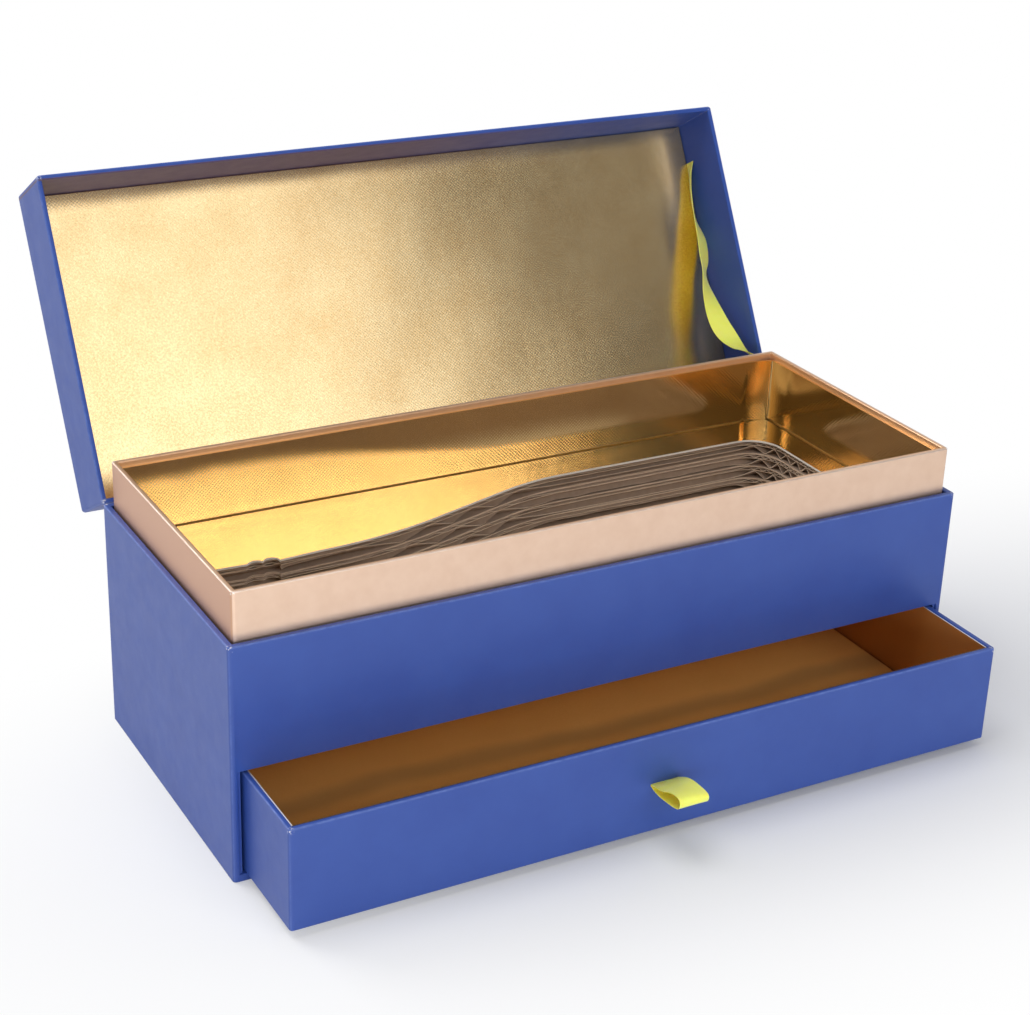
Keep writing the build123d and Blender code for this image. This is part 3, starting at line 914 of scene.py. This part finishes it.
def fold_distance(look, half, top, turn=None):
    """Distance in metres from a point of a tray's skin to its nearest outer fold, and to a corner."""
    place = look.place()
    if turn:
        place = look.moved(place, *turn)
    parts = look.split(place)
    across, deep = wall_distances(look, parts, half)
    below = look.math("ABSOLUTE", look.math("SUBTRACT", top * mm, parts["Z"]))
    low = look.math("MINIMUM", across, deep)
    high = look.math("MAXIMUM", across, deep)
    fold = look.math("MAXIMUM", low, look.math("MINIMUM", high, below))
    corner = look.math("MAXIMUM", high, below)
    return fold, corner


def fade(look, distance, near, far):
    """1 nearer than the first distance in millimetres, 0 beyond the second."""
    return look.ramp(distance, near * mm, far * mm, 1.0, 0.0, interpolation_type="SMOOTHSTEP")


def blue_paper(name, half=case_half, top=case_rim, turn=None, specular=0.5, painted_pad_glow=False):
    """Satin blue paper: a fine tooth, faint clouding, paler folds that are part worn paper and part
    painted highlight, and chipped corners.

    One with a painted pad glow has painted light from the gold pad on its front wall's inner face: a
    mauve-brown colour, strongest at the left end and fading out towards the right."""
    look = Finish(name)
    place = look.place()
    clouds = look.noise(place, 45, 4, 0.6)
    colour = look.mix(clouds, linear(43, 71, 150), linear(54, 85, 164))
    if painted_pad_glow:
        # Painted light: a mauve-brown glow of light reflected from the gold pad, painted on the front
        # wall's inner face and fading out towards the right.
        parts = look.split(look.moved(place, *turn))
        off_wall = look.math("ABSOLUTE", look.math("ADD", parts["Y"], (half[1] - lid_wall) * mm))
        along = fade(look, look.math("ADD", parts["X"], half[0] * mm), 150, 330)
        painted_glow_share = look.math("MULTIPLY", fade(look, off_wall, 0.45, 0.6), along)
        colour = look.mix(painted_glow_share, colour, linear(86, 72, 108))
    fold, corner = fold_distance(look, half, top, turn)
    # Paler folds: part worn paper, part a painted highlight along the folds.
    fold_noise = look.noise(place, 260, 4, 0.7)
    scuff_and_painted_highlight = look.math("MULTIPLY", fade(look, fold, 0.15, 1.0), look.math("POWER", fold_noise, 1.5))
    colour = look.mix(look.math("MULTIPLY", scuff_and_painted_highlight, 0.85), colour, linear(128, 150, 214))
    chips = look.ramp(look.noise(place, 900, 2, 0.6), 0.5, 0.62)
    bare = look.math("MULTIPLY", fade(look, corner, 0.9, 2.6), chips)
    colour = look.mix(bare, colour, linear(232, 232, 236))
    look.set(
        Base_Color=colour,
        Roughness=look.math("MULTIPLY_ADD", look.noise(place, 130, 3), 0.16, 0.34),
        Specular_IOR_Level=specular,
        Coat_Weight=0.04,
        Coat_Roughness=0.3,
    )
    tooth = look.noise(place, 2600, 3, 0.6)
    swell = look.noise(place, 90, 2)
    look.set(Normal=look.bump(look.math("MULTIPLY_ADD", swell, 3.0, tooth), 0.00002))
    return look.material


def rose_gold_paper():
    """Pearly rose-gold paper with a fine laid texture; painted reflection on its rim's inner half and
    inner face, painted shade on its end walls, and paler folds that are part worn paper, part painted
    highlight.
    """
    look = Finish("Rose-gold paper")
    place = look.place()
    clouds = look.noise(place, 160, 3)
    colour = look.mix(clouds, linear(232, 198, 172), linear(244, 214, 190))
    fold, corner = fold_distance(look, collar_half, collar_rim)
    across, deep = wall_distances(look, look.split(place), collar_half)
    # Painted reflection: a darker, more orange colour on the rim's inner half and on the inner face,
    # standing in for the rounded rim's darker reflection.
    painted_rim_reflection = look.ramp(look.math("MINIMUM", across, deep), 1.1 * mm, 1.5 * mm)
    colour = look.mix(painted_rim_reflection, colour, linear(232, 188, 150))
    # Painted shade: the end walls' outer faces darker and browner than the front and back.
    colour = look.mix(fade(look, across, 0.4, 0.6), colour, linear(213, 169, 139))
    # Paler folds: part worn paper, part a painted highlight along the folds.
    rub_and_painted_highlight = look.math("MULTIPLY", fade(look, fold, 0.2, 0.8), look.noise(place, 420, 3, 0.6))
    colour = look.mix(rub_and_painted_highlight, colour, linear(255, 240, 232))
    chips = look.math("GREATER_THAN", look.noise(place, 900, 2, 0.6), 0.52)
    bare = look.math("MULTIPLY", fade(look, corner, 0.7, 1.9), chips)
    colour = look.mix(bare, colour, linear(246, 242, 240))
    look.set(Base_Color=colour, Metallic=0.8, Roughness=0.4)
    laid = look.noise(look.moved(place, scale=(1.0, 1.0, 0.22)), 2400, 2)
    tooth = look.math("ADD", laid, look.noise(place, 5200, 2))
    look.set(Normal=look.bump(tooth, 0.000012))
    return look.material


def foil(
    name, ways, dark, light, roughness, metal=1.0, weave=0.45, grit=0.2, sway=0.0001,
    speckle=1900, edge=None, painted_shade_band=None,
):
    """Metal foil on card: a diamond weave along two ways of its plane, a fine grain, faint waves.

    The edge colours the top of the drawer's cards, and the painted shade band is a soft darker band of
    painted shade along its floor."""
    look = Finish(name)
    place = look.place()
    grain = look.noise(place, speckle, 3, 0.75)
    grain_share = 0.75
    grains = look.math("MULTIPLY", grain, grain_share)
    tone = look.math("MULTIPLY_ADD", look.noise(place, 40, 3), 1 - grain_share, grains)
    colour = look.mix(look.ramp(tone, 0.35, 0.65), linear(*dark), linear(*light))
    # Painted shade: a soft darker band along the drawer's floor.
    if painted_shade_band:
        wander = look.math("MULTIPLY_ADD", look.noise(place, 14, 2), 0.016, 0.036)
        off_line = look.math("ABSOLUTE", look.math("ADD", look.split(place)["Y"], wander))
        share = look.math("MULTIPLY", fade(look, off_line, 1, 11), 0.45)
        colour = look.mix(share, colour, linear(*painted_shade_band))
    if edge:
        on_edge = look.math("GREATER_THAN", look.split(place)["Z"], lining_top)
        colour = look.mix(on_edge, colour, linear(*edge))
    across, up = (Vector(way) for way in ways)
    waves = []
    for way in (across + up, across - up):
        along = look.measure("DOT_PRODUCT", place, way)
        waves.append(look.math("SINE", look.math("MULTIPLY", along, 2 * pi / weave_pitch)))
    grid = look.math("MULTIPLY", look.math("ADD", waves[0], waves[1]), 0.5 * weave)
    fine = look.bump(look.math("MULTIPLY_ADD", grain, grit, grid), 0.000018)
    stretched = look.moved(place, scale=tuple(1.0 - 0.7 * abs(part) for part in up))
    broad = look.bump(look.noise(stretched, 48, 2), sway, Normal=fine)
    look.set(Base_Color=colour, Metallic=metal, Roughness=roughness, Normal=broad)
    return look.material


def plain_paper(name, dark, light, scale=300):
    """Matt uncoated paper or board."""
    look = Finish(name)
    place = look.place()
    tone = look.noise(place, scale, 4)
    look.set(Base_Color=look.mix(tone, linear(*dark), linear(*light)), Roughness=0.9)
    look.set(Normal=look.bump(look.noise(place, 3000, 3), 0.00004))
    return look.material


def ribbon_weave(name, *shades):
    """Satin ribbon with fine ribs across it, in two shades that differ a little."""
    look = Finish(name)
    place = look.node("ShaderNodeUVMap", uv_map="Ribbon").outputs["UV"]
    parts = look.split(place)
    ribs = look.math("SINE", look.math("MULTIPLY", parts["Y"], 2 * pi / rib_pitch))
    threads = look.math("SINE", look.math("MULTIPLY", parts["X"], 2 * pi / thread_pitch))
    tone = look.noise(place, 300, 3)
    look.set(
        Base_Color=look.mix(tone, *(linear(*shade) for shade in shades)),
        Roughness=0.42,
        Subsurface_Weight=0.5,
        Subsurface_Radius=(1.0, 0.62, 0.1),
        Subsurface_Scale=0.0007,
        Sheen_Weight=0.25,
        Sheen_Roughness=0.4,
    )
    look.set(Normal=look.bump(look.math("MULTIPLY_ADD", threads, 0.4, ribs), 0.000015))
    return look.material


# Moves and turns from the scene to the lid's and the drawer's own coordinates
to_lid = lid_frame.inverted()
lid_turn = (tuple(to_lid.translation * mm), tuple(to_lid.to_euler()))
drawer_turn = (tuple(Vector(drawer_origin) * -mm), (0, 0, 0))

blue = blue_paper("Blue paper")
# The lid's paper carries a painted glow of light from its gold pad.
lid_blue = blue_paper("Lid blue paper", lid_half, lid_lip, lid_turn, specular=0.3, painted_pad_glow=True)
drawer_blue = blue_paper("Drawer blue paper", drawer_half, drawer_height, drawer_turn)
rose_gold = rose_gold_paper()

# The two ways of each foil's plane
level = ((1, 0, 0), (0, 1, 0))
long_wall = ((1, 0, 0), (0, 0, 1))
end_wall = ((0, 1, 0), (0, 0, 1))
gold_look = {"dark": (240, 207, 150), "light": (252, 224, 172), "roughness": 0.11}
gold = foil("Gold foil", level, **gold_look)
gold_long = foil("Gold foil, long walls", long_wall, **gold_look)
gold_end = foil("Gold foil, end walls", end_wall, **gold_look)
gold_pad = foil(
    "Gold foil, lid", ((1, 0, 0), tuple(lid_y)), (227, 191, 135), (250, 225, 176), 0.21,
    weave=0.3, grit=0.4, sway=0.00006, speckle=1150,
)
copper_look = {"dark": (238, 184, 106), "light": (248, 198, 122), "roughness": 0.38, "metal": 0.12}
# The drawer floor's copper carries a painted shade band.
copper = foil("Copper foil", level, **copper_look, painted_shade_band=(150, 120, 84))
copper_long = foil("Copper foil, long walls", long_wall, **copper_look, edge=(70, 60, 60))
# Painted shade: the drawer's end walls take a darker copy of the copper foil.
copper_end_shaded = foil(
    "Copper foil, end walls, painted shade", end_wall, (176, 116, 60), (190, 130, 70), 0.34, 0.3,
    edge=(240, 238, 234),
)
grey = plain_paper("Greyboard", (140, 134, 128), (168, 162, 154))
kraft = plain_paper("Corrugated paper", (162, 140, 123), (188, 165, 147))
raw_edge = plain_paper("Raw paper edge", (206, 183, 160), (230, 208, 186), 500)
pale_board = plain_paper("Pale board", (220, 214, 204), (234, 229, 220))
white_edge = plain_paper("White card edge", (240, 236, 230), (252, 250, 246))
satin = ribbon_weave("Satin ribbon", (250, 250, 90), (255, 255, 130))
# Painted light: a deeper, more orange copy of the satin, for light bounced round inside the pull's loop.
satin_painted_bounce = ribbon_weave("Satin ribbon, painted bounce light", (255, 234, 70), (255, 242, 104))

slot_materials = {
    "greyboard": grey, "corrugated": kraft, "blue_paper": blue, "rose_gold_paper": rose_gold,
    "gold_foil": gold, "copper_foil": copper, "ribbon": satin,
}
node_materials = {
    "drawer_front_lining": copper_long, "drawer_back_lining": copper_long,
    "drawer_left_lining": copper_end_shaded, "drawer_right_lining": copper_end_shaded,
    "bay_left_liner": blue, "bay_right_liner": blue, "case_shelf_board": pale_board,
}
for part in frame["record"]["subparts"]:
    node = frame["nodes"][part["node"]]
    node.data.materials.clear()
    node.data.materials.append(node_materials.get(part["node"], slot_materials[part["material_slot"]]))

dress(case_paper(), [blue], "case", "blue_paper", "case_wrap")
dress(collar_paper(), [rose_gold], "case", "rose_gold_paper", "collar_wrap")
dress(lid_paper(), [lid_blue], "lid", "blue_paper", "lid_wrap")
dress(drawer_paper(), [drawer_blue], "drawer", "blue_paper", "drawer_wrap")
dress(insert_card_piece(), [gold, white_edge], "case", "gold_foil", "insert_card")
dress(
    well_lining(), [gold_long, gold_end], "case", "gold_foil",
    "well_front_lining", "well_back_lining", "well_left_lining", "well_right_lining",
)
corrugated_bed(kraft, raw_edge)

lid_pad = dress(
    pad(
        "lid_lining_pad", half=(177.65, 72.65), middle=(0, 0), foot=lid_ceiling, face=31.8,
        place=lid_frame, radius=0.4, lift=2.0,
    ),
    [gold_pad], "lid", "gold_foil", "lid_pad",
)
floor_pad = dress(
    pad(
        "drawer_lining_pad", half=(171.1, 68.9), middle=(0, 0.2), foot=2.2, face=5.2,
        place=drawer_frame,
    ),
    [copper], "drawer", "copper_foil", "drawer_floor_pad",
)

stay = dress(stay_ribbon(), [satin, satin], None, "ribbon", "lid_stay_ribbon")
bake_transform(stay)
# The pull's inner side takes the satin with painted bounce light.
pull = dress(pull_ribbon(), [satin_painted_bounce, satin], "drawer", "ribbon", "drawer_pull")
hinge = dress(hinge_paper(), [blue, blue], None, "blue_paper", "hinge_strip")
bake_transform(hinge)


# Stage
def floor():
    """A wide pale floor that fades to white away from the object and keeps its shadow near it."""
    side = 6000
    corners = [(-side, -side, 0), (side, -side, 0), (side, side, 0), (-side, side, 0)]
    piece = new_object("floor", corners, [(0, 1, 2, 3)])
    look = Finish("Pale floor")
    look.set(Base_Color=(0.84, 0.845, 0.865, 1), Roughness=1.0, Specular_IOR_Level=0.0)
    beside = look.moved(look.place(), move=(-0.048, 0.06, 0), scale=(0.4, 1, 1))
    reach = look.measure("LENGTH", beside)
    far = look.ramp(reach, 0.05, 0.235, interpolation_type="SMOOTHSTEP")
    path = look.node("ShaderNodeLightPath").outputs
    parts = look.split(look.place())
    forwards = look.math("MULTIPLY", parts["Y"], -1)
    ahead = look.ramp(look.math("MULTIPLY_ADD", parts["X"], -0.5, forwards), 0.05, 0.35, 0.0, 0.6)
    seen = look.math("MULTIPLY_ADD", path["Is Glossy Ray"], ahead, path["Is Camera Ray"])
    glow = look.node("ShaderNodeEmission", {"Color": (1, 1, 1, 1), "Strength": 1.0})
    share = look.math("MULTIPLY", look.math("MULTIPLY_ADD", far, 0.94, 0.06), seen)
    inputs = {0: share, 1: look.shader.outputs[0], 2: glow.outputs[0]}
    blended = look.node("ShaderNodeMixShader", inputs)
    look.give(look.tree.nodes["Material Output"].inputs["Surface"], blended.outputs[0])
    piece.data.materials.append(look.material)


def lamp(name, place, target, size, power):
    """A rectangular soft light that faces a point."""
    light = bpy.data.lights.new(name, "AREA")
    light.shape = "RECTANGLE"
    light.size = size[0]
    light.size_y = size[1]
    light.energy = power
    made = linked(name, light)
    made.location = place
    made.rotation_euler = (Vector(target) - Vector(place)).to_track_quat("-Z", "Y").to_euler()


def studio():
    """Even light from all round, dim within an angle of a way to the front and up."""
    dim_within = radians(48)
    bright_beyond = radians(72)
    world = bpy.data.worlds.new("studio")
    world.use_nodes = True
    nodes = Nodes(world.node_tree)
    rise = radians(28)
    way = nodes.node("ShaderNodeTexCoord").outputs["Generated"]
    towards = nodes.measure("DOT_PRODUCT", way, (0, -cos(rise), sin(rise)))
    strength = nodes.ramp(
        towards, cos(bright_beyond), cos(dim_within), 0.6, 0.065, interpolation_type="SMOOTHSTEP"
    )
    background = world.node_tree.nodes["Background"].inputs
    nodes.give(background["Strength"], strength)
    nodes.give(background["Color"], (1, 1, 1, 1))
    bpy.context.scene.world = world


def camera():
    """The camera that the photograph's straight edges give."""
    focal_pixels = 2121.21
    photo_width = 1030
    distance = 959.72
    made = bpy.data.cameras.new("camera")
    made.sensor_width = 36
    made.lens = focal_pixels / photo_width * made.sensor_width
    made.clip_start = 0.01
    made.clip_end = 100
    eye = linked("camera", made)
    turn = radians(-29.4)
    rise = radians(24.26)
    back = Vector((sin(turn) * cos(rise), -cos(turn) * cos(rise), sin(rise)))
    target = Vector((-11.96, 0, 106.75)) * mm
    roll = Matrix.Rotation(radians(2.03), 3, "Z")
    eye.rotation_euler = (back.to_track_quat("Z", "Y").to_matrix() @ roll).to_euler()
    eye.location = target + back * distance * mm
    bpy.context.scene.camera = eye


floor()
lamp("key", place=(-0.95, 1.45, 1.5), target=(0, 0, 0.05), size=(1.1, 1.1), power=18)
lamp("front softbox", place=(0.31, -1.5, 1.37), target=(0.31, 0, 1.37), size=(1.34, 1.16), power=6.8)
lamp("front strip", place=(0.265, -1.5, 0.98), target=(0.265, 0, 0.98), size=(1.25, 0.38), power=4.5)
lamp("low front fill", place=(-0.62, -1.65, 0.28), target=(0, 0, 0.08), size=(1.6, 0.45), power=15.2)
lamp("right edge light", place=(1.66, -1.5, 1.65), target=(1.66, 0, 1.65), size=(0.4, 0.5), power=0.3)
lamp("top softbox", place=(-0.4, 0.1, 2.0), target=(0, 0, 0), size=(1.2, 1.2), power=13)
studio()
bpy.context.scene.view_settings.view_transform = "Standard"
camera()
